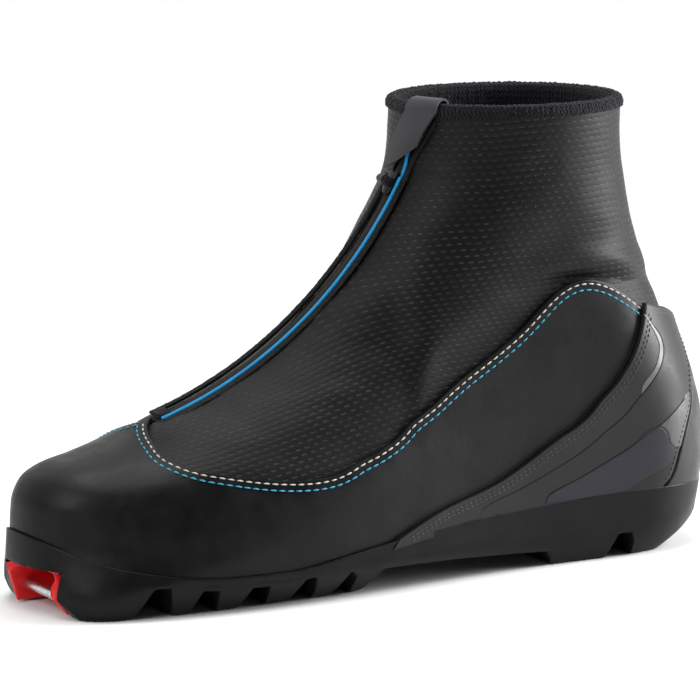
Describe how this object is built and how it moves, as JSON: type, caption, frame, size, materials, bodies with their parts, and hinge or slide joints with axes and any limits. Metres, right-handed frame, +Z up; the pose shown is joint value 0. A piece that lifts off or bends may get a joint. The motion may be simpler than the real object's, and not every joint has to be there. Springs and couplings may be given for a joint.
{
  "type": "cross country ski boot",
  "caption": "Low cut cross country ski boot, left foot: zipped softshell collar over a synthetic vamp, heel counter and lugged rubber sole with a steel toe bar for a touring binding.",
  "frame": {"origin": "bottom centre of the bounding box, on the ground the boot stands on", "axes": "+X from the toe to the heel, +Y towards the inner (medial) side, +Z up"},
  "size_m": [0.287, 0.1004, 0.1743],
  "materials": {
    "sole_rubber": "satin moulded black rubber",
    "red_insert": "bright red moulded plastic",
    "bar_steel": "satin steel bar",
    "board": "fibre board",
    "shank_steel": "plain steel strip",
    "footbed_foam": "felt covered foam",
    "vamp_leather": "black synthetic leather, satin",
    "reinforcement": "thermoplastic reinforcement sheet",
    "softshell": "black softshell with small embossed dashes",
    "backstay_synthetic": "dark synthetic strip",
    "counter_shell": "dark grey moulded counter, satin gloss",
    "lining_fleece": "black fleece",
    "tongue_fabric": "black stretch fabric",
    "binding_knit": "blue black knitted edge",
    "zip_tape": "grey ribbed tape",
    "zip_coil": "nylon coil",
    "blue_piping": "azure piping",
    "black_piping": "black piping",
    "slider_metal": "cast slider, satin",
    "pull_webbing": "grey rubberised webbing"
  },
  "bodies": {
    "boot": {"outsole": "sole_rubber", "toe_insert": "red_insert", "toe_bar": "bar_steel", "insole_board": "board", "shank": "shank_steel", "footbed": "footbed_foam", "vamp": "vamp_leather", "toe_puff": "reinforcement", "heel_stiffener": "reinforcement", "softshell_lateral": "softshell", "softshell_medial": "softshell", "backstay": "backstay_synthetic", "heel_counter_lateral": "counter_shell", "heel_counter_medial": "counter_shell", "lining": "lining_fleece", "tongue": "tongue_fabric", "collar_binding": "binding_knit", "zip_tape_lateral": "zip_tape", "zip_coil_lateral": "zip_coil", "piping_lateral": "blue_piping", "zip_tape_medial": "zip_tape", "zip_coil_medial": "zip_coil", "piping_medial": "black_piping", "zip_bottom_stop": "black_piping"},
    "slider": {"zip_slider": "slider_metal"},
    "pull": {"pull_tab": "pull_webbing"}
  },
  "joints": [
    {"name": "zip_travel", "type": "hinge", "parent": "boot", "child": "slider", "pos_m": [-0.13396, -0.00652, 0.21865], "axis": [0, 0.9982, 0.0599], "range_deg": [0, 41.5]},
    {"name": "pull_swing", "type": "hinge", "parent": "slider", "child": "pull", "pos_m": [0.00637, -0.00212, 0.1453], "axis": [0, -0.9982, -0.0599], "range_deg": [0, 110]}
  ]
}
